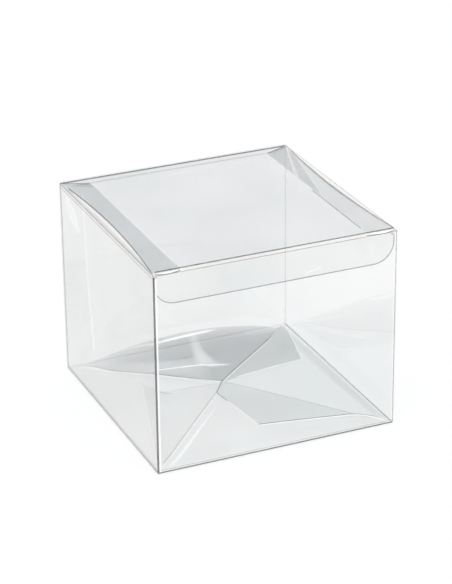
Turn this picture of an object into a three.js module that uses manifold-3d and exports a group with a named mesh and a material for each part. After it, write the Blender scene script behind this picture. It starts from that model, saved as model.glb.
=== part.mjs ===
// Clear folding carton: a cube-like box cut and creased from one sheet of clear PET.
// Four walls with a glued side seam, a tuck-in lid over two dust flaps, and a crash-lock
// bottom whose four flaps and two glue tabs lock at the middle.
// Millimetres, +Z up, the front wall faces -Y, and the origin is under the middle of the base.

import * as THREE from 'three';
import Module from 'manifold-3d';
import { mergeVertices } from 'three/addons/utils/BufferGeometryUtils.js';

const wasm = await Module();
wasm.setup();

// Overall size, outside the walls, with the lid shut
const WIDTH = 120;
const DEPTH = 120;
const HEIGHT = 100;

// The sheet, its creases and the clearances between folded panels
const SHEET = 0.3;
const CREASE_RADIUS = 0.45;
const CREASE_GAP = 0.3;
const GLUE_FILM = 0.1;
const FLAP_GAP = 0.35;

// Lid, its tuck flap and the slits at the ends of the tuck crease
const LID_BOW = 0.8;
const LID_INSET = 0.6;
const LID_WAIST = 3.6;
const LID_CORNER = 2;
const TUCK_DEPTH = 16;
const TUCK_CORNER = 10;
const TUCK_INSET = 1.1;
const TUCK_SHOULDER = 2;
const SHOULDER_CORNER = 1.5;
const SLIT_OVERRUN = 1.5;
const FRONT_DROP = 1.4;

// Dust flaps under the lid, and the glue flap of the side seam
const DUST_WIDTH = 14;
const DUST_CORNER = 1.5;
const DUST_TAPER = 6;
const GLUE_FLAP_WIDTH = 11.5;
const GLUE_FLAP_TAPER = 4;
const GLUE_FLAP_FLARE = 2.8;
const GLUE_FLAP_MARGIN = 2;

// Crash-lock bottom, as seen from above: the hook line near the middle and the flap corners
const TOE = 1.2;
const BASE_RISE = 4.2;
const BASE_RISE_REACH = 30;
const LOCK_LENGTH = 13.6;
const LOCK_ANGLE = 54;
const LOCK_SHIFT = { x: -3.2, y: 0.3 };
const FREE_CORNER = { side: 1.2, end: 20 };
const FLAP_CURVE = { start: 20, end: 14.2 };
const BACK_TAB = { side: 11.5, along: 43.8 };
const FRONT_TAB = { side: 25.8, along: 84.8 };
const FRONT_TAB_NOTCH = { side: 30.4, along: 67.8 };

// How far each bottom flap bulges up beside its crease, and how far in the bulge reaches
const BULGE = { front: 0.8, right: 1, back: 8.8, left: 0.8 };
const BULGE_REACH = { front: 4, right: 4, back: 5, left: 4 };

// Corners of the flaps end in slivers this wide, so that no two of them meet in a point
const SLIVER = 1.2;

// Where a side flap's free corner and the two ends of its hook are met from its crease, as
// shares of half the crease's length from its middle
const FAN = { corner: -0.33, hookFront: 0, hookBack: 0.125 };

// Where on its crease the front tab's far corner is met from, as a share of the crease
const FRONT_TAB_SHARE = 0.6;

// Counts of steps: round an arc, along a long edge, a short one and the hook, and across a
// tab, the lid and a flap. A flap's rows are closer over this share of it, beside its crease.
const ARC_STEPS = 8;
const EDGE_STEPS = 12;
const SHORT_STEPS = 4;
const HOOK_STEPS = 2;
const TAB_ROWS = 5;
const LID_COLUMNS = 20;
const LID_ROWS = 12;
const NEAR_ROWS = 14;
const FAR_ROWS = 5;
const NEAR_SHARE = 0.4;

// Points closer than this are one point, and slopes are measured over this distance
const MERGE_DISTANCE = 1e-4;
const SLOPE_STEP = 0.05;

const halfWidth = WIDTH / 2;
const halfDepth = DEPTH / 2;
const boxTop = HEIGHT - LID_BOW;
const wallTop = boxTop - SHEET - CREASE_GAP;
const frontTop = boxTop - FRONT_DROP;
const lidHalf = halfWidth - LID_INSET;

// The tuck flap hangs this far behind the front wall, so that it swings out over its edge
const tuckSwing = Math.hypot(DEPTH, TUCK_DEPTH) - DEPTH;
const tuckFront = -halfDepth + SHEET + tuckSwing + CREASE_GAP;
const slitStart = halfWidth - SHEET - DUST_WIDTH - SLIT_OVERRUN;

// Sheet of PET: clear, glossy and faintly grey
function clearSheet(color) {
  return new THREE.MeshStandardMaterial({
    color, roughness: 0.06, metalness: 0, transparent: true, opacity: 0.35, side: THREE.DoubleSide,
  });
}

function toSolid(geometry) {
  const plain = geometry.clone();
  plain.deleteAttribute('normal');
  plain.deleteAttribute('uv');
  const merged = mergeVertices(plain, MERGE_DISTANCE);
  return new wasm.Manifold(new wasm.Mesh({
    numProp: 3,
    vertProperties: new Float32Array(merged.attributes.position.array),
    triVerts: new Uint32Array(merged.index.array),
  }));
}

function toGeometry(solid) {
  const mesh = solid.getMesh();
  const geometry = new THREE.BufferGeometry();
  geometry.setAttribute('position', new THREE.BufferAttribute(new Float32Array(mesh.vertProperties), 3));
  geometry.setIndex(new THREE.BufferAttribute(new Uint32Array(mesh.triVerts), 1));
  geometry.computeVertexNormals();
  return geometry;
}

function extrude(shape, depth) {
  return new THREE.ExtrudeGeometry(shape, { depth, bevelEnabled: false, curveSegments: ARC_STEPS });
}

// Section of a wall: an upright sheet that turns in at its foot, with a rounded heel
function wallSection(top) {
  const section = new THREE.Shape();
  section.moveTo(0, top);
  section.lineTo(0, SHEET);
  section.absarc(SHEET, SHEET, SHEET, Math.PI, Math.PI * 1.5, false);
  section.lineTo(TOE, 0);
  section.lineTo(TOE, SHEET);
  section.lineTo(SHEET, SHEET);
  section.lineTo(SHEET, top);
  section.closePath();
  return section;
}

// Plan of a wall from corner to corner. A creased end is half of a rounded bend, cut off at
// 45 degrees. A cut end is square and stops short by its setback, and only its foot is
// cut off at 45 degrees, against the foot of the next wall.
function wallPlan(length, start, end) {
  const reach = TOE * 2;
  const half = length / 2;
  const plan = new THREE.Shape();
  plan.moveTo(-half + reach, reach);
  if (start.creased) {
    plan.absarc(-half + CREASE_RADIUS, CREASE_RADIUS, CREASE_RADIUS, Math.PI * 1.25, Math.PI * 1.5, false);
  } else {
    const turn = Math.max(start.setback, SHEET);
    plan.lineTo(-half + turn, turn);
    plan.lineTo(-half + start.setback, turn);
    plan.lineTo(-half + start.setback, 0);
  }
  if (end.creased) {
    plan.absarc(half - CREASE_RADIUS, CREASE_RADIUS, CREASE_RADIUS, Math.PI * 1.5, Math.PI * 1.75, false);
  } else {
    const turn = Math.max(end.setback, SHEET);
    plan.lineTo(half - end.setback, 0);
    plan.lineTo(half - end.setback, turn);
    plan.lineTo(half - turn, turn);
  }
  plan.lineTo(half - reach, reach);
  plan.closePath();
  return plan;
}

const CREASED = { creased: true };
const cutEnd = (setback) => ({ creased: false, setback });

// A wall with its outer face on y = 0, facing -Y, its foot on z = 0 and its middle at x = 0
function wall(length, top, start, end) {
  const inwards = new THREE.Vector3(0, 1, 0);
  const upwards = new THREE.Vector3(0, 0, 1);
  const lengthways = new THREE.Vector3(1, 0, 0);
  const section = extrude(wallSection(top), length);
  section.applyMatrix4(new THREE.Matrix4().makeBasis(inwards, upwards, lengthways));
  section.translate(-length / 2, 0, 0);
  const plan = extrude(wallPlan(length, start, end), top);
  return toGeometry(toSolid(section).intersect(toSolid(plan)));
}

function sheetMesh(name, geometry, color) {
  const mesh = new THREE.Mesh(geometry, clearSheet(color));
  mesh.name = name;
  return mesh;
}

// The glued seam is at the back left corner: the back wall's cut edge covers the crease
// where the left wall turns into the glue flap
function walls() {
  const seam = SHEET + GLUE_FILM;
  const front = sheetMesh('front_wall', wall(WIDTH, frontTop, CREASED, CREASED), 0xe6eaea);
  front.position.set(0, -halfDepth, 0);
  const right = sheetMesh('right_wall', wall(DEPTH, wallTop, CREASED, CREASED), 0xe4e8e8);
  right.position.set(halfWidth, 0, 0);
  right.rotation.z = Math.PI / 2;
  const back = sheetMesh('back_wall', wall(WIDTH, wallTop, CREASED, cutEnd(0)), 0xe4e8e8);
  back.position.set(0, halfDepth, 0);
  back.rotation.z = Math.PI;
  const left = sheetMesh('left_wall', wall(DEPTH, wallTop, cutEnd(seam), CREASED), 0xe2e6e6);
  left.position.set(-halfWidth, 0, 0);
  left.rotation.z = -Math.PI / 2;
  return [front, right, back, left];
}

// Glue flap of the left wall, stuck to the inside of the back wall, with tapered ends and a
// free edge that flares towards its foot
function glueFlap() {
  const low = TOE + GLUE_FLAP_MARGIN;
  const high = wallTop - GLUE_FLAP_MARGIN;
  const outline = new THREE.Shape();
  outline.moveTo(0, low);
  outline.lineTo(GLUE_FLAP_WIDTH + GLUE_FLAP_FLARE, low + GLUE_FLAP_TAPER);
  outline.quadraticCurveTo(GLUE_FLAP_WIDTH, (low + high) / 2, GLUE_FLAP_WIDTH, high - GLUE_FLAP_TAPER);
  outline.lineTo(0, high);
  outline.closePath();
  const flap = sheetMesh('glue_flap', extrude(outline, SHEET), 0xdfe4e4);
  flap.rotation.x = Math.PI / 2;
  flap.position.set(-halfWidth + SHEET, halfDepth - SHEET - GLUE_FILM, 0);
  return flap;
}

// Evenly spaced shares from one end to the other
function evenShares(steps, start = 0, end = 1) {
  return Array.from({ length: steps + 1 }, (_, step) => start + ((end - start) * step) / steps);
}

const flapShares = [...evenShares(NEAR_ROWS, 0, NEAR_SHARE), ...evenShares(FAR_ROWS, NEAR_SHARE, 1).slice(1)];

// A sheet between two edges given as equally long lists of points in plan, with rows of points
// at these shares of the way. Its lower face lies on the surface, lifted off it if need be,
// and its thickness is measured square to it.
function sheetBetween(rootEdge, freeEdge, options) {
  const { shares = flapShares, surface = baseSurface, lift = 0, reshape = null } = options;
  const columns = rootEdge.length;
  const positions = [];
  for (const level of [lift, lift + SHEET]) {
    for (let column = 0; column < columns; column += 1) {
      for (const share of shares) {
        const plan = rootEdge[column].clone().lerp(freeEdge[column], share);
        const place = reshape ? reshape(plan) : plan;
        positions.push(...liftedPoint(place, surface, level).toArray());
      }
    }
  }
  const geometry = new THREE.BufferGeometry();
  geometry.setAttribute('position', new THREE.Float32BufferAttribute(positions, 3));
  geometry.setIndex(sheetFaces(columns, shares.length, isClockwise(rootEdge, freeEdge)));
  geometry.computeVertexNormals();
  return geometry;
}

function isClockwise(rootEdge, freeEdge) {
  const along = rootEdge[rootEdge.length - 1].clone().sub(rootEdge[0]);
  const middle = Math.floor(rootEdge.length / 2);
  const across = freeEdge[middle].clone().sub(rootEdge[middle]);
  return along.cross(across) < 0;
}

// Point on the surface above a place in plan, moved out square to the surface by a distance
function liftedPoint(plan, surface, distance) {
  const height = surface(plan.x, plan.y);
  const fallX = surface(plan.x - SLOPE_STEP, plan.y) - surface(plan.x + SLOPE_STEP, plan.y);
  const fallY = surface(plan.x, plan.y - SLOPE_STEP) - surface(plan.x, plan.y + SLOPE_STEP);
  const normal = new THREE.Vector3(fallX, fallY, 2 * SLOPE_STEP).normalize();
  return new THREE.Vector3(plan.x, plan.y, height).addScaledVector(normal, distance);
}

// Triangles of a closed sheet of two layers of points, with its four edges walled
function sheetFaces(columns, rows, flipped) {
  const layer = columns * rows;
  const faces = [];
  const quad = (a, b, c, d) => {
    const order = flipped ? [a, c, b, a, d, c] : [a, b, c, a, c, d];
    faces.push(...order);
  };
  const at = (level, column, row) => level * layer + column * rows + row;
  for (let column = 0; column < columns - 1; column += 1) {
    for (let row = 0; row < rows - 1; row += 1) {
      quad(at(1, column, row), at(1, column + 1, row), at(1, column + 1, row + 1), at(1, column, row + 1));
      quad(at(0, column, row), at(0, column, row + 1), at(0, column + 1, row + 1), at(0, column + 1, row));
    }
    const last = rows - 1;
    quad(at(0, column, 0), at(0, column + 1, 0), at(1, column + 1, 0), at(1, column, 0));
    quad(at(0, column + 1, last), at(0, column, last), at(1, column, last), at(1, column + 1, last));
  }
  for (let row = 0; row < rows - 1; row += 1) {
    const end = columns - 1;
    quad(at(0, 0, row + 1), at(0, 0, row), at(1, 0, row), at(1, 0, row + 1));
    quad(at(0, end, row), at(0, end, row + 1), at(1, end, row + 1), at(1, end, row));
  }
  return faces;
}

// Points along straight stretches, with a number of steps for each
function stretch(corners, steps) {
  const points = [corners[0].clone()];
  for (let index = 1; index < corners.length; index += 1) {
    for (let step = 1; step <= steps[index - 1]; step += 1) {
      points.push(corners[index - 1].clone().lerp(corners[index], step / steps[index - 1]));
    }
  }
  return points;
}

// Height of the domed bottom: flat at the feet of the walls, raised at the middle, and
// bulged beside each crease, most of all behind the back flap
const footHalfX = halfWidth - TOE;
const footHalfY = halfDepth - TOE;

function riseShare(inward, span) {
  const full = 1 - Math.exp(-span / BASE_RISE_REACH);
  return (1 - Math.exp(-Math.max(inward, 0) / BASE_RISE_REACH)) / full;
}

function bulgeShare(inward, reach) {
  const ratio = Math.max(inward, 0) / reach;
  return ratio * Math.exp((1 - ratio * ratio) / 2);
}

function archShare(along, half) {
  return Math.max(0, 1 - (along / half) ** 2);
}

function baseSurface(x, y) {
  const alongX = archShare(x, footHalfX);
  const alongY = archShare(y, footHalfY);
  const dome = riseShare(footHalfX - Math.abs(x), footHalfX) * riseShare(footHalfY - Math.abs(y), footHalfY);
  return BASE_RISE * dome
    + BULGE.front * bulgeShare(y + footHalfY, BULGE_REACH.front) * alongX
    + BULGE.right * bulgeShare(footHalfX - x, BULGE_REACH.right) * alongY
    + BULGE.back * bulgeShare(footHalfY - y, BULGE_REACH.back) * alongX
    + BULGE.left * bulgeShare(x + footHalfX, BULGE_REACH.left) * alongY;
}

// Plan corners of the bottom, measured from the corners of the box and the middle
const spot = (x, y) => new THREE.Vector2(x, y);
const lockReach = spot(LOCK_LENGTH / 2, 0).rotateAround(spot(0, 0), THREE.MathUtils.degToRad(LOCK_ANGLE));
const hookBack = spot(LOCK_SHIFT.x, LOCK_SHIFT.y).add(lockReach);
const hookFront = spot(LOCK_SHIFT.x, LOCK_SHIFT.y).sub(lockReach);
const rootX = footHalfX - CREASE_GAP;
const rootY = footHalfY - CREASE_GAP;
const frontLeft = spot(-rootX, -rootY);
const frontRight = spot(rootX, -rootY);
const backRight = spot(rootX, rootY);
const backLeft = spot(-rootX, rootY);

// A place a small way along from one point to another, and one moved sideways
const toward = (from, to, distance) => from.clone().add(to.clone().sub(from).setLength(distance));
const shifted = (point, x, y) => point.clone().add(spot(x, y));

// Half the gap at a crease, on each side of it, and how high an upper flap lies
const slack = CREASE_GAP / 2;
const upperLift = SHEET + FLAP_GAP;

// The front flap and its tab end a little short of the back flap's hook
const lockTip = toward(hookBack, hookFront, SHEET * 2);

// Upper flap on the right, over the front flap; turned half round it is the one on the left
function sideFlap(halfTurn) {
  const curveEnd = spot(halfWidth - FLAP_CURVE.start, -halfDepth + FLAP_CURVE.end);
  const curveBend = spot(halfWidth - FLAP_CURVE.start / 2, curveEnd.y);
  const freeCorner = spot(-FREE_CORNER.side, -halfDepth + FREE_CORNER.end);
  const turnedHook = [hookBack, hookFront].map((point) => point.clone().negate());
  const hook = halfTurn ? turnedHook : [hookFront, hookBack];
  const rootStart = shifted(frontRight, 0, SLIVER / 2);
  const rootBend = shifted(frontRight, 0, FLAP_CURVE.end);
  const fan = Object.values(FAN).map((share) => spot(rootX, rootY * share));
  const root = [rootStart, rootBend, ...fan, shifted(backRight, 0, -SLIVER)];
  const free = [
    curveEnd,
    freeCorner,
    ...hook.map((point) => shifted(point, slack, -slack)),
    shifted(backRight, -slack, -SLIVER),
  ];
  const curve = new THREE.QuadraticBezierCurve(shifted(rootStart, -SLIVER, 0), curveBend, curveEnd);
  const steps = [EDGE_STEPS, SHORT_STEPS, HOOK_STEPS, EDGE_STEPS];
  const rootEdge = stretch(root, [ARC_STEPS, ...steps]);
  const freeEdge = [...curve.getPoints(ARC_STEPS), ...stretch(free, steps).slice(1)];
  const turn = (points) => (halfTurn ? points.map((point) => point.negate()) : points);
  return sheetBetween(turn(rootEdge), turn(freeEdge), { lift: upperLift });
}

// Lower flap at the back, from its crease to the hook, with its free edge on the left
function backFlap() {
  const root = [shifted(backLeft, SLIVER, 0), spot(0, rootY), shifted(backRight, -SLIVER, 0)];
  const free = [
    shifted(backLeft, SLIVER, -SLIVER / 2),
    shifted(hookBack, -slack, slack),
    shifted(backRight, -SLIVER - slack, -SLIVER + slack),
  ];
  const steps = [EDGE_STEPS, EDGE_STEPS];
  return sheetBetween(stretch(root, steps), stretch(free, steps), {});
}

// Lower flap at the front; its tip goes on under the hook of the right flap
function frontFlap() {
  const root = [
    shifted(frontLeft, SLIVER, 0),
    spot(hookFront.x, -rootY),
    spot(hookBack.x, -rootY),
    shifted(frontRight, -SLIVER, 0),
  ];
  const free = [
    shifted(frontLeft, SLIVER + slack, SLIVER - slack),
    shifted(hookFront, slack, -slack),
    shifted(lockTip, slack, -slack),
    shifted(frontRight, -SLIVER, SLIVER / 2),
  ];
  const steps = [EDGE_STEPS, HOOK_STEPS, EDGE_STEPS];
  return sheetBetween(stretch(root, steps), stretch(free, steps), {});
}

// Glue tab beyond the diagonal crease of the back flap, stuck under the right flap
function backTab() {
  const corner = spot(halfWidth - BACK_TAB.side, halfDepth - BACK_TAB.along);
  const start = shifted(backRight, -SLIVER + slack, -SLIVER - slack);
  const hook = shifted(hookBack, slack, -slack);
  const outerStart = shifted(start, SLIVER / 2, -SLIVER);
  const before = outerStart.distanceTo(corner);
  const cornerShare = before / (before + corner.distanceTo(hook));
  const crease = [start, start.clone().lerp(hook, cornerShare), toward(hook, start, SLIVER)];
  const outer = [outerStart, corner, toward(hook, corner, SLIVER)];
  const steps = [EDGE_STEPS / 2, EDGE_STEPS / 2];
  return sheetBetween(stretch(crease, steps), stretch(outer, steps), { shares: evenShares(TAB_ROWS) });
}

// Glue tab beyond the diagonal crease of the front flap, stuck under the left flap. It is
// notched between its far corner and its tip.
function frontTab() {
  const corner = spot(-halfWidth + FRONT_TAB.side, -halfDepth + FRONT_TAB.along);
  const notch = spot(-halfWidth + FRONT_TAB_NOTCH.side, -halfDepth + FRONT_TAB_NOTCH.along);
  const start = shifted(frontLeft, SLIVER - slack, SLIVER + slack);
  const bend = shifted(hookFront, -slack, slack);
  const tip = shifted(lockTip, -slack, slack);
  const crease = [start, start.clone().lerp(bend, FRONT_TAB_SHARE), bend, toward(tip, bend, SLIVER)];
  const outer = [shifted(start, -SLIVER / 2, SLIVER), corner, notch, toward(tip, notch, SLIVER)];
  const steps = [EDGE_STEPS, SHORT_STEPS, HOOK_STEPS];
  return sheetBetween(stretch(crease, steps), stretch(outer, steps), { shares: evenShares(TAB_ROWS) });
}

function bottom() {
  return [
    sheetMesh('bottom_front_flap', frontFlap(), 0xdde2e2),
    sheetMesh('bottom_back_flap', backFlap(), 0xd2d8d8),
    sheetMesh('bottom_right_flap', sideFlap(false), 0xd8dede),
    sheetMesh('bottom_left_flap', sideFlap(true), 0xd8dede),
    sheetMesh('bottom_front_glue_tab', frontTab(), 0xd5dbdb),
    sheetMesh('bottom_back_glue_tab', backTab(), 0xcfd5d5),
  ];
}

// Top face of the lid: straight at its crease, arched along its front edge
function lidArch(x, y) {
  const across = 1 - (x / lidHalf) ** 2;
  const out = (halfDepth - y) / (halfDepth - tuckFront);
  return LID_BOW * across * out;
}

// Share of the lid's waist at a place between its crease and its front edge
function waistShare(y) {
  return Math.sin(Math.PI * ((halfDepth - y) / (halfDepth - tuckFront)));
}

// Lid from the crease of the back wall to the tuck crease, with rounded front corners and
// side edges cut in to a waist
function lid() {
  const steps = ARC_STEPS / 2;
  const corner = [];
  for (let step = 0; step <= steps; step += 1) {
    const angle = (Math.PI / 2) * (step / steps);
    const inset = spot(1 - Math.sin(angle), 1 - Math.cos(angle)).multiplyScalar(LID_CORNER);
    corner.push(spot(lidHalf - inset.x, tuckFront + inset.y));
  }
  const straight = [spot(-lidHalf + LID_CORNER, tuckFront), spot(lidHalf - LID_CORNER, tuckFront)];
  const middle = stretch(straight, [LID_COLUMNS]);
  const front = [
    ...corner.map((point) => spot(-point.x, point.y)).reverse(),
    ...middle.slice(1, -1),
    ...corner,
  ];
  const rear = front.map((point) => spot(point.x, halfDepth));
  const underside = (x, y) => boxTop - SHEET + lidArch(x, y);
  const reshape = (plan) => spot(plan.x * (1 - (LID_WAIST / lidHalf) * waistShare(plan.y)), plan.y);
  const geometry = sheetBetween(rear, front, { shares: evenShares(LID_ROWS), surface: underside, reshape });
  return sheetMesh('lid', geometry, 0xe6eaea);
}

// Tuck flap: creased to the lid between the slits, with dropped shoulders beside them
function tuckFlap() {
  const half = halfWidth - TUCK_INSET;
  const crease = (x) => boxTop + lidArch(x, tuckFront) - SHEET - CREASE_GAP;
  const shoulder = boxTop - SHEET - TUCK_SHOULDER;
  const low = boxTop - TUCK_DEPTH;
  const rise = 2 * (crease(0) - crease(slitStart));
  const shoulderTurn = shoulder - SHOULDER_CORNER;
  const lowTurn = low + TUCK_CORNER;
  const quarter = Math.PI / 2;
  const outline = new THREE.Shape();
  outline.moveTo(slitStart, crease(slitStart));
  outline.quadraticCurveTo(0, crease(slitStart) + rise, -slitStart, crease(slitStart));
  outline.quadraticCurveTo(-slitStart, shoulder, -slitStart - SLIT_OVERRUN, shoulder);
  outline.lineTo(-half + SHOULDER_CORNER, shoulder);
  outline.absarc(-half + SHOULDER_CORNER, shoulderTurn, SHOULDER_CORNER, quarter, quarter * 2, false);
  outline.absarc(-half + TUCK_CORNER, lowTurn, TUCK_CORNER, quarter * 2, quarter * 3, false);
  outline.absarc(half - TUCK_CORNER, lowTurn, TUCK_CORNER, quarter * 3, quarter * 4, false);
  outline.absarc(half - SHOULDER_CORNER, shoulderTurn, SHOULDER_CORNER, 0, quarter, false);
  outline.lineTo(slitStart + SLIT_OVERRUN, shoulder);
  outline.quadraticCurveTo(slitStart, shoulder, slitStart, crease(slitStart));
  const flap = sheetMesh('tuck_flap', extrude(outline, SHEET), 0xe8ecec);
  flap.rotation.x = Math.PI / 2;
  flap.position.set(0, tuckFront + SHEET, 0);
  return flap;
}

// Dust flap: creased to the top of a side wall, folded in under the lid
function dustFlap(side) {
  const front = tuckFront + SHEET + CREASE_GAP;
  const rear = halfDepth - SHEET * 2 - GLUE_FILM - CREASE_GAP;
  const turnX = DUST_WIDTH - DUST_CORNER;
  const rearTurn = rear - DUST_TAPER - DUST_CORNER;
  const outline = new THREE.Shape();
  outline.moveTo(CREASE_GAP, front);
  outline.lineTo(turnX, front);
  outline.absarc(turnX, front + DUST_CORNER, DUST_CORNER, -Math.PI / 2, 0, false);
  outline.lineTo(DUST_WIDTH, rearTurn);
  outline.absarc(turnX, rearTurn, DUST_CORNER, 0, Math.PI / 2, false);
  outline.lineTo(CREASE_GAP, rear);
  outline.closePath();
  const geometry = extrude(outline, SHEET);
  if (side > 0) {
    geometry.scale(-1, 1, 1);
    flipFaces(geometry);
  }
  const flap = sheetMesh(side > 0 ? 'right_dust_flap' : 'left_dust_flap', geometry, 0xdde2e2);
  flap.position.set(side * (halfWidth - SHEET), 0, wallTop - SHEET);
  return flap;
}

// Turns every triangle over, after a mirroring has turned the shape inside out
function flipFaces(geometry) {
  const positions = geometry.attributes.position;
  for (let face = 0; face < positions.count; face += 3) {
    const first = new THREE.Vector3().fromBufferAttribute(positions, face);
    const second = new THREE.Vector3().fromBufferAttribute(positions, face + 1);
    positions.setXYZ(face, second.x, second.y, second.z);
    positions.setXYZ(face + 1, first.x, first.y, first.z);
  }
  geometry.computeVertexNormals();
}

const carton = new THREE.Group();
carton.add(...walls(), glueFlap(), ...bottom());
carton.add(lid(), tuckFlap(), dustFlap(-1), dustFlap(1));

export default carton;
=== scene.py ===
import math

import bpy
from mathutils import Matrix, Vector


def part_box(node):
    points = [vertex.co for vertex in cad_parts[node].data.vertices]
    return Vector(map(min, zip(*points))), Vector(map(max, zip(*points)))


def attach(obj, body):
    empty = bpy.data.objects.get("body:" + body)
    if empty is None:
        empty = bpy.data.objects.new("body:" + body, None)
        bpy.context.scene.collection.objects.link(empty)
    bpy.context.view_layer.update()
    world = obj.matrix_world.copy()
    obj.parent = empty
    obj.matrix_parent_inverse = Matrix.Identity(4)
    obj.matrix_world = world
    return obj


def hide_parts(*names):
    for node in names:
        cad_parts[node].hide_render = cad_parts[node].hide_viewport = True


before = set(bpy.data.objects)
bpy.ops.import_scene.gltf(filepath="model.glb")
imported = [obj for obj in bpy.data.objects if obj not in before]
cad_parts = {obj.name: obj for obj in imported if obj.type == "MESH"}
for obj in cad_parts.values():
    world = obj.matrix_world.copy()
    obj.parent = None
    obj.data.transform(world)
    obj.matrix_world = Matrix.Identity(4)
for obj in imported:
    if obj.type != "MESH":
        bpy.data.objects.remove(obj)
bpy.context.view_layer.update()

# A clear folding carton of PET sheet on a pale studio table.
# Lengths are written in millimetres and turned to metres by MM.
MM = 0.001

SIDE_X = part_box("right_wall")[1][0] / MM
SIDE_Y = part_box("back_wall")[1][1] / MM
WALL_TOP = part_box("back_wall")[1][2] / MM
FRONT_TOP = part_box("front_wall")[1][2] / MM
BOTTOM_PANELS = ("bottom_front_flap", "bottom_back_flap", "bottom_right_flap", "bottom_left_flap",
                 "bottom_front_glue_tab", "bottom_back_glue_tab")
# The back flap rises between these distances from the middle to its crease, and its tint pales there as
# painted light on the crest
CREST_START, CREST_FULL = 48, 55
# Levels and places of the skins that carry gleams and shades
SHEET_LIFT, FOOT_SHADE_LIFT, UNDER_LID = 0.06, 0.2, -0.4
DUST_FLAP_TOP, DUST_EDGE_LEVEL = 98.72, 98.6
DUST_INNER, DUST_REAR, DUST_FRONT = 45.8, 52, -50.5
TUCK_FACE = -59.1
FOLD_INSET, FOOT_LEVEL, SCORE_GAP = 0.6, 0.4, 1.1

# Camera, fitted to the eight corners of the box in the photograph
CAMERA_PLACE = Vector((-388.7, -898.8, 503.9)) * MM
CAMERA_YAW = math.radians(-23.42)
CAMERA_PITCH = math.radians(90 - 24.65)
CAMERA_ROLL = math.radians(-0.64)
CAMERA_LENS = 140.09


def linear(hex_colour):
    """Linear colour from sRGB hex such as "d8dcdc"."""
    channels = [int(hex_colour[i:i + 2], 16) / 255 for i in (0, 2, 4)]
    return tuple(c / 12.92 if c <= 0.04045 else ((c + 0.055) / 1.055) ** 2.4 for c in channels) + (1.0,)


def add_node(tree, kind, inputs=None, **settings):
    """Adds a node with its settings, and sets its inputs to values or links them to sockets."""
    node = tree.nodes.new(kind)
    for name, value in settings.items():
        setattr(node, name, value)
    for name, value in (inputs or {}).items():
        if isinstance(value, bpy.types.NodeSocket):
            tree.links.new(value, node.inputs[name])
        else:
            node.inputs[name].default_value = value
    return node


def new_tree(name):
    material = bpy.data.materials.new(name)
    material.use_nodes = True
    material.node_tree.nodes.clear()
    return material, material.node_tree


def per_metre(size_mm):
    """Texture scale of a pattern whose features are this many millimetres across."""
    return 1 / (size_mm * MM)


def clear_pet(name, tint, deep_tint, gloss=0.05, roughness=0.03, ripple_mm=45, crest_light_tint=None):
    """PET sheet off a polished roll: clear and glossy, faintly grey, with long shallow ripples.
    A flap that bulges at its back crease is tinted paler toward that crest: painted light, where the crest
    catches more light."""
    material, tree = new_tree(name)
    place = add_node(tree, "ShaderNodeTexCoord").outputs["Object"]
    ripple = add_node(tree, "ShaderNodeTexNoise", {
        "Vector": place, "Scale": per_metre(ripple_mm), "Detail": 1.0, "Roughness": 0.4})
    bump = add_node(tree, "ShaderNodeBump", {
        "Height": ripple.outputs["Fac"], "Strength": 0.25, "Distance": 1.5 * MM})
    spread = add_node(tree, "ShaderNodeMapRange", {
        "Value": ripple.outputs["Fac"], "From Min": 0.35, "From Max": 0.65})
    passed = add_node(tree, "ShaderNodeMix", {
        0: spread.outputs["Result"], 6: linear(tint), 7: linear(deep_tint)}, data_type="RGBA")
    # Painted light: the tint pales toward the back crease, where the bulge catches more light
    if crest_light_tint is not None:
        toward_back = add_node(tree, "ShaderNodeSeparateXYZ", {"Vector": place}).outputs["Y"]
        crest = add_node(tree, "ShaderNodeMapRange", {
            "Value": toward_back, "From Min": CREST_START * MM, "From Max": CREST_FULL * MM})
        passed = add_node(tree, "ShaderNodeMix", {
            0: crest.outputs["Result"], 6: passed.outputs[2], 7: linear(crest_light_tint)}, data_type="RGBA")
    through = add_node(tree, "ShaderNodeBsdfTransparent", {"Color": passed.outputs[2]})
    mirror = add_node(tree, "ShaderNodeBsdfGlossy", {
        "Color": (1, 1, 1, 1), "Roughness": roughness, "Normal": bump.outputs["Normal"]})
    facing = add_node(tree, "ShaderNodeLayerWeight", {"Blend": 0.5})
    steep = add_node(tree, "ShaderNodeMath", {0: facing.outputs["Facing"], 1: 5.0}, operation="POWER")
    share = add_node(tree, "ShaderNodeMath", {0: steep.outputs[0], 1: 1 - gloss, 2: gloss},
                     operation="MULTIPLY_ADD")
    sheet = add_node(tree, "ShaderNodeMixShader", {
        0: share.outputs[0], 1: through.outputs[0], 2: mirror.outputs[0]})
    add_node(tree, "ShaderNodeOutputMaterial", {"Surface": sheet.outputs[0]})
    return material


def fold_shaded_pet(name, core, rim, grain_mm=6):
    """Painted shade along the score line of a fold: the sheet is tinted darker where the thinned, bent sheet
    turns the light aside.
    """
    material, tree = new_tree(name)
    place = add_node(tree, "ShaderNodeTexCoord").outputs["Object"]
    grain = add_node(tree, "ShaderNodeTexNoise", {
        "Vector": place, "Scale": per_metre(grain_mm), "Detail": 2.0})
    spread = add_node(tree, "ShaderNodeMapRange", {
        "Value": grain.outputs["Fac"], "From Min": 0.35, "From Max": 0.65})
    passed = add_node(tree, "ShaderNodeMix", {
        0: spread.outputs["Result"], 6: linear(core), 7: linear(rim)}, data_type="RGBA")
    through = add_node(tree, "ShaderNodeBsdfTransparent", {"Color": passed.outputs[2]})
    mirror = add_node(tree, "ShaderNodeBsdfGlossy", {"Color": (1, 1, 1, 1), "Roughness": 0.12})
    bend = add_node(tree, "ShaderNodeMixShader", {0: 0.04, 1: through.outputs[0], 2: mirror.outputs[0]})
    add_node(tree, "ShaderNodeOutputMaterial", {"Surface": bend.outputs[0]})
    return material


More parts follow.
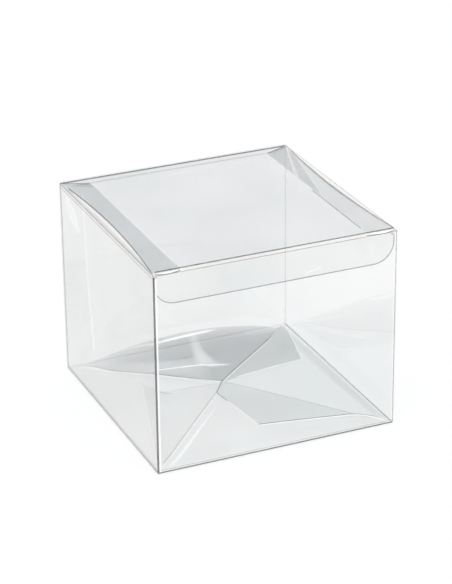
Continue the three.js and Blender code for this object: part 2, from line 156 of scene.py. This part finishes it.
def highlight_glow_pet(name, colour, cover, strength=1.1):
    """Painted highlight along bends and cut edges: the clear sheet glows white by emission, where it catches
    the light.
    """
    material, tree = new_tree(name)
    place = add_node(tree, "ShaderNodeTexCoord").outputs["Object"]
    streak = add_node(tree, "ShaderNodeTexNoise", {"Vector": place, "Scale": per_metre(9), "Detail": 2.0})
    amount = add_node(tree, "ShaderNodeMapRange", {
        "Value": streak.outputs["Fac"], "From Min": 0.3, "From Max": 0.7,
        "To Min": cover * 0.7, "To Max": cover})
    glow_over_clear(tree, colour, amount.outputs["Result"], strength)
    return material


def glow_over_clear(tree, colour, amount, strength):
    """Ends a tree with clear sheet that glows by an amount: emission that paints a highlight on the sheet."""
    through = add_node(tree, "ShaderNodeBsdfTransparent", {"Color": (1, 1, 1, 1)})
    glow = add_node(tree, "ShaderNodeEmission", {"Color": linear(colour), "Strength": strength})
    band = add_node(tree, "ShaderNodeMixShader", {0: amount, 1: through.outputs[0], 2: glow.outputs[0]})
    add_node(tree, "ShaderNodeOutputMaterial", {"Surface": band.outputs[0]})


def border_fade(tree, axis, crispness):
    """1 along the middle of a skin and 0 at its borders, by its texture's axis."""
    centred = add_node(tree, "ShaderNodeMath", {0: axis, 1: 2.0, 2: -1.0}, operation="MULTIPLY_ADD")
    apart = add_node(tree, "ShaderNodeMath", {0: centred.outputs[0]}, operation="ABSOLUTE")
    steep = add_node(tree, "ShaderNodeMath", {0: apart.outputs[0], 1: crispness}, operation="POWER")
    return add_node(tree, "ShaderNodeMath", {0: 1.0, 1: steep.outputs[0]}, operation="SUBTRACT").outputs[0]


def faded_cover(tree, cover, along, across):
    """The cover of a skin, fading to nothing at its borders."""
    place = add_node(tree, "ShaderNodeTexCoord").outputs["UV"]
    axes = add_node(tree, "ShaderNodeSeparateXYZ", {"Vector": place})
    lengthwise = border_fade(tree, axes.outputs["X"], along)
    crosswise = border_fade(tree, axes.outputs["Y"], across)
    both = add_node(tree, "ShaderNodeMath", {0: lengthwise, 1: crosswise}, operation="MULTIPLY")
    return add_node(tree, "ShaderNodeMath", {0: both.outputs[0], 1: cover}, operation="MULTIPLY").outputs[0]


def gleaming_pet(name, colour, cover, along=4.0, across=2.0, strength=1.15):
    """PET where it curves up to a lamp: a soft-edged gleam over the clear sheet, brighter than the room."""
    material, tree = new_tree(name)
    glow_over_clear(tree, colour, faded_cover(tree, cover, along, across), strength)
    return material


def shaded_pet(name, tint, along=4.0, across=2.0):
    """PET where it curves away from the lamps: it turns their light aside, so a soft shade lies on it."""
    material, tree = new_tree(name)
    passed = add_node(tree, "ShaderNodeMix", {
        0: faded_cover(tree, 1.0, along, across), 6: (1, 1, 1, 1), 7: linear(tint)}, data_type="RGBA")
    through = add_node(tree, "ShaderNodeBsdfTransparent", {"Color": passed.outputs[2]})
    add_node(tree, "ShaderNodeOutputMaterial", {"Surface": through.outputs[0]})
    return material


# Tints of each panel: the photograph shows the back flap darkest and the seam clearest. The sheets are one
# and the same PET, so these differing tints are painted shade.
SHEETS = {
    "front_wall": clear_pet("clear_pet_front", "fdfdfd", "fbfcfc"),
    "right_wall": clear_pet("clear_pet_right", "fefefe", "fcfcfc"),
    "back_wall": clear_pet("clear_pet_back", "fdfdfd", "fbfbfb"),
    "left_wall": clear_pet("clear_pet_left", "f6f6f6", "f4f5f5"),
    "glue_flap": clear_pet("clear_pet_seam", "ffffff", "fefefe"),
    "tuck_flap": clear_pet("clear_pet_tuck", "fcfcfc", "fafafa"),
    "left_dust_flap": clear_pet("clear_pet_left_dust", "f3f4f4", "f0f2f2"),
    "right_dust_flap": clear_pet("clear_pet_right_dust", "fdfdfd", "fcfcfc", gloss=0.035),
    "lid": clear_pet("clear_pet_lid", "fcfcfd", "f9fafa", gloss=0.045),
    "bottom_front_flap": clear_pet("clear_pet_bottom_front", "fbfcfc", "fafafa", gloss=0.04),
    "bottom_back_flap": clear_pet(
        "clear_pet_bottom_back", "e4e6e7", "dfe1e2", gloss=0.04, crest_light_tint="fbfbfb"),
    "bottom_right_flap": clear_pet("clear_pet_bottom_right", "fafbfb", "f9fafa", gloss=0.035),
    "bottom_left_flap": clear_pet("clear_pet_bottom_left", "fefefe", "fcfcfc", gloss=0.03),
    "bottom_front_glue_tab": clear_pet("clear_pet_front_tab", "fdfdfd", "fbfbfb", gloss=0.02),
    "bottom_back_glue_tab": clear_pet("clear_pet_back_tab", "f4f5f5", "f1f2f2"),
}
# Painted shade of folds and cut edges, from the crease that turns most light aside to the edge that turns
# least
BLACK_FOLD_SHADE = fold_shaded_pet("fold_shade_black", "aaa8a7", "b4b2b1")
DARK_FOLD_SHADE = fold_shaded_pet("fold_shade_dark", "c4c3c2", "cdcccb")
BROWN_FOLD_SHADE = fold_shaded_pet("fold_shade_brown", "e1dbd6", "e8e3df")
MID_FOLD_SHADE = fold_shaded_pet("fold_shade_mid", "dadad9", "e2e1e1")
PALE_FOLD_SHADE = fold_shaded_pet("fold_shade_pale", "ecebeb", "f0f0f0")
FAINT_EDGE_SHADE = fold_shaded_pet("cut_edge_shade_faint", "f3f3f3", "f6f6f6")
# Painted highlight: white edges that glow by emission where they catch the light
WHITE_EDGE_HIGHLIGHT = highlight_glow_pet("edge_highlight_glow", "fcfdfe", 0.8)
# Light that the sheet mirrors, and the shades where it mirrors none
GLEAM = gleaming_pet("gleaming_pet", "fcfdfe", 0.9, along=4, across=3, strength=1.08)
STREAK_GLEAM = gleaming_pet("gleaming_pet_streak", "fcfdfe", 0.6, along=4, across=4, strength=1.04)
HALO_GLEAM = gleaming_pet("gleaming_pet_halo", "fcfdfe", 0.22, along=2, across=2, strength=1.1)
LENS_GLEAM = gleaming_pet("gleaming_pet_lens", "f7f4f2", 0.8, along=8, across=5, strength=1.0)
BAND_GLEAM = gleaming_pet("gleaming_pet_band", "f8f9fa", 0.5, along=20, across=3, strength=1.0)
PANE_GLEAM = gleaming_pet("gleaming_pet_pane", "f8f9fa", 0.5, along=8, across=10, strength=1.2)
SOFT_GLEAM = gleaming_pet("gleaming_pet_soft", "fcfdfe", 0.4, along=2, across=2)
FAINT_GLEAM = gleaming_pet("gleaming_pet_faint", "fcfdfe", 0.12, along=4, across=8)
OVERLAP_GLEAM = gleaming_pet("gleaming_pet_overlap", "f8f9fa", 0.34, along=3, across=2.5, strength=1.0)
SOFT_SHADE = shaded_pet("shaded_pet_soft", "d6d8d9", along=8, across=2)
REAR_SHADE = shaded_pet("shaded_pet_rear", "e2e4e4", along=8, across=2)
FAINT_SHADE = shaded_pet("shaded_pet_faint", "f4f4f4", along=6, across=3)
CRISP_SHADE = shaded_pet("shaded_pet_crisp", "eaecec", along=14, across=14)
WEDGE_SHADE = shaded_pet("shaded_pet_wedge", "b8c0bf", along=8, across=8)
FINE_SHADE = shaded_pet("shaded_pet_fine", "dcdddd", along=2, across=4)
CUT_SHADE = shaded_pet("shaded_pet_cut", "c4c5c5", along=6, across=4)
ARC_SHADE = shaded_pet("shaded_pet_arc", "5c5e5e", along=20, across=4)


def deselect_all():
    bpy.ops.object.select_all(action="DESELECT")


def make_active(piece):
    deselect_all()
    piece.select_set(True)
    bpy.context.view_layer.objects.active = piece


def finish_piece(piece, name, body, material):
    """Names a piece and its mesh, gives it its material and hangs it on its body."""
    piece.name = name
    piece.data.name = name
    piece.data.materials.clear()
    piece.data.materials.append(material)
    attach(piece, body)


def copy_of(node, name):
    """A merged copy of a CAD panel, to be worked on."""
    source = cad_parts[node]
    piece = bpy.data.objects.new(name, source.data.copy())
    bpy.context.scene.collection.objects.link(piece)
    make_active(piece)
    bpy.ops.object.mode_set(mode="EDIT")
    bpy.ops.mesh.select_all(action="SELECT")
    bpy.ops.mesh.remove_doubles(threshold=0.001 * MM)
    bpy.ops.object.mode_set(mode="OBJECT")
    return piece


def smooth_panel(node, body):
    """A domed or bowed panel with an evenly shaded surface and crisp cut edges."""
    piece = copy_of(node, node + "_sheet")
    bpy.ops.object.shade_smooth_by_angle(angle=math.radians(35))
    finish_piece(piece, node + "_sheet", body, SHEETS[node])
    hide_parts(node)
    return piece


def arris_edges(mesh, side, keep):
    """Indices of the edges round the face of a panel that looks to one side, where keep() holds."""
    normals = {}
    for face in mesh.polygons:
        for key in face.edge_keys:
            normals.setdefault(key, []).append(face.normal.dot(side))
    wanted = set()
    for edge in mesh.edges:
        shares = sorted(normals[edge.key])
        on_arris = len(shares) == 2 and shares[1] > 0.7 and shares[0] < 0.5
        if on_arris and all(keep(mesh.vertices[i].co / MM) for i in edge.vertices):
            wanted.add(edge.index)
    return wanted


def edge_bead(name, node, body, outward, radius, material, keep, shift=(0, 0, 0)):
    """A slim bead along the arrises of one face of a panel. Shift moves it by millimetres."""
    piece = copy_of(node, name)
    wanted = arris_edges(piece.data, Vector(outward), keep)
    bpy.ops.object.mode_set(mode="EDIT")
    bpy.ops.mesh.select_mode(type="EDGE")
    bpy.ops.mesh.select_all(action="DESELECT")
    bpy.ops.object.mode_set(mode="OBJECT")
    for edge in piece.data.edges:
        edge.select = edge.index in wanted
    bpy.ops.object.mode_set(mode="EDIT")
    bpy.ops.mesh.select_all(action="INVERT")
    bpy.ops.mesh.delete(type="EDGE")
    bpy.ops.mesh.select_all(action="SELECT")
    bpy.ops.transform.translate(value=Vector(shift) * MM)
    bpy.ops.object.mode_set(mode="OBJECT")
    bpy.ops.object.convert(target="CURVE")
    piece = bpy.context.view_layer.objects.active
    piece.data.bevel_depth = radius * MM
    piece.data.bevel_resolution = 1
    piece.data.use_fill_caps = True
    bpy.ops.object.convert(target="MESH")
    piece = bpy.context.view_layer.objects.active
    bpy.ops.object.shade_smooth_by_angle(angle=math.radians(60))
    finish_piece(piece, name, body, material)
    return piece


def fold_bead(name, body, start, end, radius, material):
    """The round-ended bead that a score raises along a fold, from one point to another."""
    first, last = Vector(start) * MM, Vector(end) * MM
    along = last - first
    deselect_all()
    bpy.ops.mesh.primitive_cylinder_add(
        vertices=12, radius=radius * MM, depth=along.length, location=(first + last) / 2,
        rotation=along.to_track_quat("Z", "Y").to_euler())
    piece = bpy.context.view_layer.objects.active
    bpy.ops.object.transform_apply(location=True, rotation=True, scale=True)
    rounding = piece.modifiers.new("rounding", "BEVEL")
    rounding.width = 0.6 * radius * MM
    rounding.segments = 2
    rounding.angle_limit = math.radians(60)
    bpy.ops.object.modifier_apply(modifier=rounding.name)
    bpy.ops.object.shade_smooth_by_angle(angle=math.radians(60))
    finish_piece(piece, name, body, material)
    return piece


def point_on(line, share):
    """Point at a share of the way along a line of points, on a smooth curve through them."""
    place = share * (len(line) - 1)
    index = min(int(place), len(line) - 2)
    part = place - index
    before, start, end, after = (
        Vector(line[max(0, min(len(line) - 1, index + step))]).to_3d() for step in (-1, 0, 1, 2))
    leave, arrive = (end - before) / 2, (after - start) / 2
    bend = start - end
    square, cube = -3 * bend - 2 * leave - arrive, 2 * bend + leave + arrive
    return start + part * (leave + part * (square + part * cube))


def skin(name, body, first_side, last_side, material, height=None):
    """A thin skin on a panel between two lines of points, its texture running along and across it.
    Height gives the level of each place in plan, where the panel is domed."""
    deselect_all()
    bpy.ops.mesh.primitive_grid_add(x_subdivisions=28, y_subdivisions=6, size=1)
    piece = bpy.context.view_layer.objects.active
    for vertex in piece.data.vertices:
        along, across = vertex.co.x + 0.5, vertex.co.y + 0.5
        place = point_on(first_side, along).lerp(point_on(last_side, along), across)
        if height is not None:
            place.z = height(place.x, place.y)
        vertex.co = place * MM
    finish_piece(piece, name, body, material)
    return piece


def height_on(pieces, lift):
    """Gives the level of the highest of some sheets at a place in plan, plus a lift."""
    def height(x, y):
        levels = [lift]
        for piece in pieces:
            met, place, _, _ = piece.ray_cast(Vector((x, y, 200)) * MM, Vector((0, 0, -1)))
            if met:
                levels.append(place.z / MM + lift)
        return max(levels)
    return height


def dress_panels():
    """Finishes of the flat panels, and smooth sheets for the bowed ones, which it returns."""
    sheets = {"lid": smooth_panel("lid", "lid")}
    for node in BOTTOM_PANELS:
        sheets[node] = smooth_panel(node, "carton")
    for node, material in SHEETS.items():
        if node not in sheets:
            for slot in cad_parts[node].material_slots:
                slot.material = material
    return sheets


def corner_folds():
    """Beads of the four upright creases, tinted as painted shade, and lines of painted highlight beside the
    front ones.
    """
    x, y = SIDE_X - FOLD_INSET, SIDE_Y - FOLD_INSET
    folds = (
        ("front_left_fold", -x, -y, FRONT_TOP, 0.44, BLACK_FOLD_SHADE),
        ("front_right_fold", x + 0.2, -y, FRONT_TOP, 0.22, MID_FOLD_SHADE),
        ("back_left_fold", -x, y, WALL_TOP, 0.3, MID_FOLD_SHADE),
        ("back_right_fold", x, y, WALL_TOP, 0.25, FAINT_EDGE_SHADE),
    )
    for name, at_x, at_y, high, radius, material in folds:
        fold_bead(name, "carton", (at_x, at_y, 0.6), (at_x, at_y, high - 0.2), radius, material)
    fold_bead("front_left_highlight_line", "carton", (1 - x, -y, 1), (1 - x, -y, FRONT_TOP - 1), 0.4, WHITE_EDGE_HIGHLIGHT)
    fold_bead("front_right_highlight_line", "carton", (x + 0.15, 0.9 - y, 1), (x + 0.15, 0.9 - y, FRONT_TOP - 1),
              0.18, WHITE_EDGE_HIGHLIGHT)


def foot_folds():
    """Beads of the creases at the foot of each wall, with the score beside two of them, tinted darker as
    painted shade.
    """
    x, y, low = SIDE_X - FOLD_INSET, SIDE_Y - FOLD_INSET, FOOT_LEVEL
    score = low + SCORE_GAP
    fold_bead("front_foot_fold", "carton", (-x, -y, low), (x, -y, low), 0.26, BLACK_FOLD_SHADE)
    fold_bead("front_foot_score", "carton", (-x, -y, score), (x, -y, score), 0.2, FAINT_EDGE_SHADE)
    fold_bead("left_foot_fold", "carton", (-x, -y, low), (-x, y, low), 0.28, MID_FOLD_SHADE)
    fold_bead("left_foot_score", "carton", (-x, -y, score), (-x, y, score), 0.4, FAINT_EDGE_SHADE)
    fold_bead("right_foot_fold", "carton", (x, -y, low), (x, y, low), 0.2, DARK_FOLD_SHADE)
    fold_bead("back_foot_fold", "carton", (-x, y, low), (x, y, low), 0.22, FAINT_EDGE_SHADE)


def top_folds():
    """Beads of the creases that the lid, the tuck flap and the dust flaps turn about, tinted darker as
    painted shade.
    """
    x, y = SIDE_X - FOLD_INSET, SIDE_Y - 0.35
    fold_bead("back_top_fold", "carton", (-x, y, WALL_TOP - 0.35), (x, y, WALL_TOP - 0.35), 0.32, BLACK_FOLD_SHADE)
    fold_bead("left_top_fold", "carton", (-x, -x, WALL_TOP - 0.5), (-x, x, WALL_TOP - 0.5), 0.25, BROWN_FOLD_SHADE)
    fold_bead("left_top_score", "carton", (-x - 0.45, -x, WALL_TOP - 1.7), (-x - 0.45, x, WALL_TOP - 1.7),
              0.14, BROWN_FOLD_SHADE)
    fold_bead("right_top_fold", "carton", (y, -x, WALL_TOP - 0.3), (y, x, WALL_TOP - 0.3), 0.2, MID_FOLD_SHADE)
    fold_bead("tuck_fold", "lid", (-58.2, -58.5, 99.6), (58.2, -58.5, 99.6), 0.28, DARK_FOLD_SHADE)


def cut_edges():
    """Beads on the cut arrises round each panel: painted highlight where they catch the light, painted shade
    where they look darker.
    """
    up, front, still = (0, 0, 1), (0, -1, 0), (0, 0, 0)
    edges = (
        ("lid_edge_left", "lid", "lid", up, 0.24, DARK_FOLD_SHADE, lambda p: -57.5 < p.y < 58 and p.x < 0,
         (0, 0, -0.24)),
        ("lid_edge_right", "lid", "lid", up, 0.24, MID_FOLD_SHADE, lambda p: -57.5 < p.y < 58 and p.x > 0,
         (0, 0, -0.24)),
        ("tuck_edge", "tuck_flap", "tuck_flap", front, 0.12, PALE_FOLD_SHADE,
         lambda p: p.z < 97 and abs(p.x) < 48, still),
        ("tuck_edge_ends", "tuck_flap", "tuck_flap", front, 0.2, DARK_FOLD_SHADE,
         lambda p: p.z < 97 and abs(p.x) > 46, still),
        ("seam_edge", "glue_flap", "carton", front, 0.3, WHITE_EDGE_HIGHLIGHT, lambda p: p.x > -59, still),
        ("front_top_edge", "front_wall", "carton", front, 0.19, BROWN_FOLD_SHADE, lambda p: p.z > 90,
         (0, 0.3, 0.4)),
        ("back_flap_edge", "bottom_back_flap", "carton", up, 0.16, MID_FOLD_SHADE, lambda p: p.y < 56, still),
        ("back_flap_rim_highlight", "bottom_back_flap", "carton", up, 0.2, WHITE_EDGE_HIGHLIGHT, lambda p: p.y < 56,
         (0, -0.9, 0)),
        ("front_flap_edge", "bottom_front_flap", "carton", up, 0.14, PALE_FOLD_SHADE,
         lambda p: p.y > -56 and p.x > 0, still),
        ("right_flap_edge", "bottom_right_flap", "carton", up, 0.16, DARK_FOLD_SHADE, lambda p: p.x < 57, still),
        ("right_flap_rim_highlight", "bottom_right_flap", "carton", up, 0.24, WHITE_EDGE_HIGHLIGHT,
         lambda p: p.x < 57 and p.y < -6, (0, -0.9, 0)),
        ("left_flap_edge", "bottom_left_flap", "carton", up, 0.16, MID_FOLD_SHADE,
         lambda p: p.x > -57 and p.y < 6, still),
        ("back_tab_edge", "bottom_back_glue_tab", "carton", up, 0.26, WHITE_EDGE_HIGHLIGHT,
         lambda p: p.x - p.y > 2, still),
        ("front_tab_edge", "bottom_front_glue_tab", "carton", up, 0.22, WHITE_EDGE_HIGHLIGHT,
         lambda p: p.y - p.x > 2 and p.x < -33, still),
    )
    for name, node, body, outward, radius, material, keep, shift in edges:
        edge_bead(name, node, body, outward, radius, material, keep, shift)
    dust_flap_edges()


def dust_flap_edges():
    """Cut edges of the two dust flaps: painted highlight where they catch the light, painted shade on the
    rest.
    """
    inner, rear, near, z = DUST_INNER, DUST_REAR, DUST_FRONT, DUST_EDGE_LEVEL
    fold_bead("left_dust_edge", "left_dust_flap", (-inner, near, z), (-inner, rear, z), 0.24, WHITE_EDGE_HIGHLIGHT)
    fold_bead("right_dust_edge", "right_dust_flap", (inner, 0, z), (inner, rear, z), 0.24, WHITE_EDGE_HIGHLIGHT)
    fold_bead("right_dust_edge_near", "right_dust_flap", (inner, near, z), (inner, 0, z), 0.2, MID_FOLD_SHADE)
    for side, name in ((-1, "left"), (1, "right")):
        fold_bead(name + "_dust_edge_rear", name + "_dust_flap", (side * 46.6, 53.2, z),
                  (side * 58.6, 58.4, z), 0.24, MID_FOLD_SHADE)


def lid_skins(lid):
    """Gleams and shades of the bowed lid, and of the dust flaps in the gaps beside it."""
    gap, under = DUST_FLAP_TOP, height_on([lid], UNDER_LID)
    skin("left_gap_gleam", "left_dust_flap", [(-58.6, -53, gap), (-58.2, 0, gap), (-58.6, 53, gap)],
         [(-58.3, -53, gap), (-56, 0, gap), (-58.3, 53, gap)], LENS_GLEAM)
    skin("right_gap_gleam", "right_dust_flap", [(59.4, -54, gap), (59.4, 0, gap), (59.4, 54, gap)],
         [(59, -54, gap), (57.4, 0, gap), (59, 54, gap)], LENS_GLEAM)
    skin("right_gap_shade", "right_dust_flap", [(58.6, -54, gap), (57.4, 0, gap), (58.6, 54, gap)],
         [(58.2, -54, gap), (55.6, 0, gap), (58.2, 54, gap)], SOFT_SHADE)
    skin("rear_shade", "lid", [(-54, 51.6), (0, 51.6), (54, 51.6)], [(-54, 54.4), (0, 54.4), (54, 54.4)],
         REAR_SHADE, under)
    skin("rear_gleam", "lid", [(-44, 46.4), (0, 46.4), (44, 46.4)], [(-44, 47.6), (0, 47.6), (44, 47.6)],
         SOFT_GLEAM, under)
    # Painted shades on the rear of the dust flaps, darker where they turn the light aside
    skin("right_dust_rear_shade", "right_dust_flap", [(58, 57, gap), (58, 56, gap)],
         [(46, 52, gap), (46, 20, gap)], CRISP_SHADE)
    skin("right_dust_facet_shade", "right_dust_flap", [(58, 54, gap), (46.6, 17, gap)],
         [(58.4, 50, gap), (46.6, -9, gap)], CRISP_SHADE)
    skin("right_dust_wedge_shade", "right_dust_flap", [(46.5, 53, gap), (58.4, 58.2, gap)],
         [(46.5, 52.4, gap), (58.4, 55.8, gap)], WEDGE_SHADE)
    skin("left_dust_wedge_shade", "left_dust_flap", [(-55, 56.2, gap), (-47, 53, gap)],
         [(-55, 55.9, gap), (-47, 50.6, gap)], WEDGE_SHADE)
    skin("left_dust_crease_shade", "left_dust_flap", [(-55, 54, gap), (-47, 49.2, gap)],
         [(-55, 53.2, gap), (-47, 48.4, gap)], WEDGE_SHADE)


def tuck_skins():
    """Gleams and shades of the tuck flap, where it bends down from the lid behind the front wall."""
    front = TUCK_FACE
    skin("tuck_bend_gleam", "tuck_flap", [(-46, front, 99.4), (44, front, 99.4)],
         [(-46, front, 98.9), (44, front, 98.9)], BAND_GLEAM)
    for side, inner, name in ((-1, 46.5, "left_shoulder"), (1, 44.2, "right_shoulder")):
        arc = [(side * 58.8, front, 98.9), (side * 53, front, 98.1), (side * inner, front, 98.8)]
        crease = [(side * 58.8, front, 99.3), (side * 53, front, 99.3), (side * inner, front, 99.3)]
        below = [(side * 58.8, front, 98.5), (side * 53, front, 97.7), (side * inner, front, 98.4)]
        # Painted highlight above each shoulder's arc, and painted shade below it
        skin(name + "_gleam", "tuck_flap", crease, arc, PANE_GLEAM)
        skin(name + "_arc", "tuck_flap", arc, below, ARC_SHADE)
    # Painted highlight: a short gleam on the tuck flap
    skin("tuck_streak", "tuck_flap", [(13.1, front, 85.5), (22.9, front, 87.8)],
         [(13.1, front, 84.9), (22.9, front, 87.2)], GLEAM)
    skin("tuck_glow", "tuck_flap", [(45.4, front, 95), (45.4, front, 87)],
         [(49.4, front, 95), (49.4, front, 87)], HALO_GLEAM)


def wall_skins():
    """Gleams where the glue seam lifts, and the light that the right wall mirrors."""
    back, right = SIDE_Y - 1.6, SIDE_X - 1.2
    skin("seam_gleam", "carton",
         [(-58.4, back, 94.8), (-57.4, back, 87), (-55.6, back, 79), (-50.2, back, 68.8)],
         [(-58.2, back, 94.8), (-54.4, back, 87.5), (-51.6, back, 79), (-50, back, 68.8)], PANE_GLEAM)
    skin("right_wall_gleam", "carton", [(right, 43.6, 7), (right, -58, 42)],
         [(right, 43.6, 5.6), (right, -58, 40.6)], HALO_GLEAM)


def bottom_skins(sheets):
    """Painted gleams and shades of the domed crash-lock bottom, and of the back flap's bulge."""
    flaps = [sheets[node] for node in BOTTOM_PANELS]
    on_bottom, over_bottom = height_on(flaps, SHEET_LIFT), height_on(flaps, FOOT_SHADE_LIFT)
    on_back_flap = height_on([sheets["bottom_back_flap"]], SHEET_LIFT)
    skin("bulge_gleam", "carton", [(-20, 51.8), (2, 52.3), (18, 52.8)], [(-20, 50.9), (2, 50.9), (18, 51.8)],
         GLEAM, on_back_flap)
    skin("bulge_glow", "carton", [(2, 56), (0, 42), (-4, 27), (8, 20)],
         [(7, 56), (8, 42), (9, 27.5), (17, 22)], SOFT_GLEAM, on_bottom)
    skin("dome_gleam", "carton", [(-30, 34.2), (-21.6, 32.3), (1.2, 27.3), (13, 23)],
         [(-30, 33.8), (-21.6, 31.1), (0.8, 25.4), (12.4, 22.2)], GLEAM, on_bottom)
    skin("front_flap_gleam", "carton", [(-54.5, -57), (-40.6, -43.6), (-10.9, -14.7)],
         [(-51, -57), (-38.8, -44.9), (-10.6, -15.1)], STREAK_GLEAM, on_bottom)
    skin("left_flap_wedge", "carton", [(-52, 49.5), (-45.7, 40.2), (-34.2, 24.8)],
         [(-52, 51), (-42, 43.4), (-26, 29.5)], FAINT_GLEAM, on_bottom)
    # Painted shade along the front tab's edge
    skin("front_tab_shade_line", "carton", [(-30.6, 7.9), (-18.6, 6.2), (-3.6, 3.8)],
         [(-30.7, 7.4), (-18.7, 5.7), (-3.7, 3.3)], FINE_SHADE, on_bottom)
    skin("bulge_rim_gleam", "carton", [(-56, 57.5), (-40, 54.8), (-20, 52), (-8, 51.8)],
         [(-56, 57.1), (-40, 54.2), (-20, 51.4), (-8, 51.2)], STREAK_GLEAM, on_back_flap)
    skin("overlap_gleam", "carton", [(-56, 56), (-19.5, 43.5), (3.2, 36.8)],
         [(-56, 55.4), (-26, 27.6), (-3, 5)], OVERLAP_GLEAM, on_bottom)
    # Painted shade along the back flap's edge, with a painted highlight beside it
    skin("back_flap_shade_line", "carton", [(-57, 56.4), (-25.5, 28.6), (-4, 6.4)],
         [(-57, 56), (-25.7, 28.1), (-4.2, 5.9)], CUT_SHADE, on_bottom)
    skin("back_flap_gleam", "carton", [(-51.2, 50.1), (-25.7, 28), (-4.2, 5.8)],
         [(-51.5, 49.5), (-26, 27.2), (-4.4, 5.2)], GLEAM, on_bottom)
    skin("right_foot_shade", "carton", [(57.4, 48), (57.4, 0), (57.4, -54)], [(52, 42), (50, 0), (53, -54)],
         FAINT_SHADE, over_bottom)


def lit_floor(name):
    """Pale matt table: it looks white, and keeps the box's faint shadow."""
    material, tree = new_tree(name)
    path = add_node(tree, "ShaderNodeLightPath")
    seen = add_node(tree, "ShaderNodeMath", {
        0: path.outputs["Is Camera Ray"], 1: path.outputs["Is Glossy Ray"]}, operation="MAXIMUM")
    shown = add_node(tree, "ShaderNodeMath", {
        0: seen.outputs[0], 1: path.outputs["Is Transmission Ray"]}, operation="MAXIMUM")
    paint = add_node(tree, "ShaderNodeBsdfDiffuse", {"Color": linear("a0a0a0")})
    glow = add_node(tree, "ShaderNodeEmission", {"Color": (1, 1, 1, 1), "Strength": 0.68})
    spill = add_node(tree, "ShaderNodeEmission", {"Color": (1, 1, 1, 1), "Strength": 0.6})
    bright = add_node(tree, "ShaderNodeMixShader", {
        0: shown.outputs[0], 1: spill.outputs[0], 2: glow.outputs[0]})
    floor = add_node(tree, "ShaderNodeAddShader", {0: paint.outputs[0], 1: bright.outputs[0]})
    add_node(tree, "ShaderNodeOutputMaterial", {"Surface": floor.outputs[0]})
    return material


def build_stage():
    deselect_all()
    bpy.ops.mesh.primitive_circle_add(vertices=64, radius=6, fill_type="NGON", location=(0, 0, -0.02 * MM))
    floor = bpy.context.view_layer.objects.active
    floor.name = "table"
    floor.data.materials.append(lit_floor("pale_table"))


def build_world():
    """White round the horizon, and a greyer studio overhead, which the sheets mirror."""
    world = bpy.data.worlds.new("studio")
    bpy.context.scene.world = world
    world.use_nodes = True
    tree = world.node_tree
    tree.nodes.clear()
    aim = add_node(tree, "ShaderNodeTexCoord").outputs["Generated"]
    height = add_node(tree, "ShaderNodeSeparateXYZ", {"Vector": aim}).outputs["Z"]
    shade = add_node(tree, "ShaderNodeMapRange", {
        "Value": height, "From Min": 0.1, "From Max": 0.4}, interpolation_type="SMOOTHSTEP")
    seen_colour = add_node(tree, "ShaderNodeMix", {
        0: shade.outputs["Result"], 6: (1, 1, 1, 1), 7: linear("c5c7c8")}, data_type="RGBA")
    path = add_node(tree, "ShaderNodeLightPath")
    camera_or_gloss = add_node(tree, "ShaderNodeMath", {
        0: path.outputs["Is Camera Ray"], 1: path.outputs["Is Glossy Ray"]}, operation="MAXIMUM")
    shown = add_node(tree, "ShaderNodeMath", {
        0: camera_or_gloss.outputs[0], 1: path.outputs["Is Transmission Ray"]}, operation="MAXIMUM")
    seen = add_node(tree, "ShaderNodeBackground", {"Color": seen_colour.outputs[2], "Strength": 1.0})
    light = add_node(tree, "ShaderNodeBackground", {"Color": linear("fbfcfd"), "Strength": 0.92})
    sky = add_node(tree, "ShaderNodeMixShader", {
        0: shown.outputs[0], 1: light.outputs[0], 2: seen.outputs[0]})
    add_node(tree, "ShaderNodeOutputWorld", {"Surface": sky.outputs[0]})


def build_lamp():
    lamp = bpy.data.lights.new("softbox", "AREA")
    lamp.shape = "RECTANGLE"
    lamp.size = 1.2
    lamp.size_y = 0.9
    lamp.energy = 5
    softbox = bpy.data.objects.new("softbox", lamp)
    bpy.context.scene.collection.objects.link(softbox)
    place = Vector((-1.1, -0.5, 1.6))
    softbox.matrix_world = Matrix.Translation(place) @ (-place).to_track_quat("-Z", "Y").to_matrix().to_4x4()


def build_camera():
    camera = bpy.data.cameras.new("camera")
    camera.lens = CAMERA_LENS
    camera.sensor_width = 36
    camera.clip_start = 0.05
    viewer = bpy.data.objects.new("camera", camera)
    bpy.context.scene.collection.objects.link(viewer)
    turn = Matrix.Rotation(CAMERA_YAW, 4, "Z") @ Matrix.Rotation(CAMERA_PITCH, 4, "X")
    viewer.matrix_world = Matrix.Translation(CAMERA_PLACE) @ turn @ Matrix.Rotation(CAMERA_ROLL, 4, "Z")
    bpy.context.scene.camera = viewer


build_camera()
build_world()
build_lamp()
build_stage()
panel_sheets = dress_panels()
corner_folds()
foot_folds()
top_folds()
cut_edges()
lid_skins(panel_sheets["lid"])
tuck_skins()
wall_skins()
bottom_skins(panel_sheets)

scene = bpy.context.scene
scene.view_settings.view_transform = "Standard"
# Rays pass more layers of clear sheet here than Blender follows by default
scene.cycles.transparent_max_bounces = 64
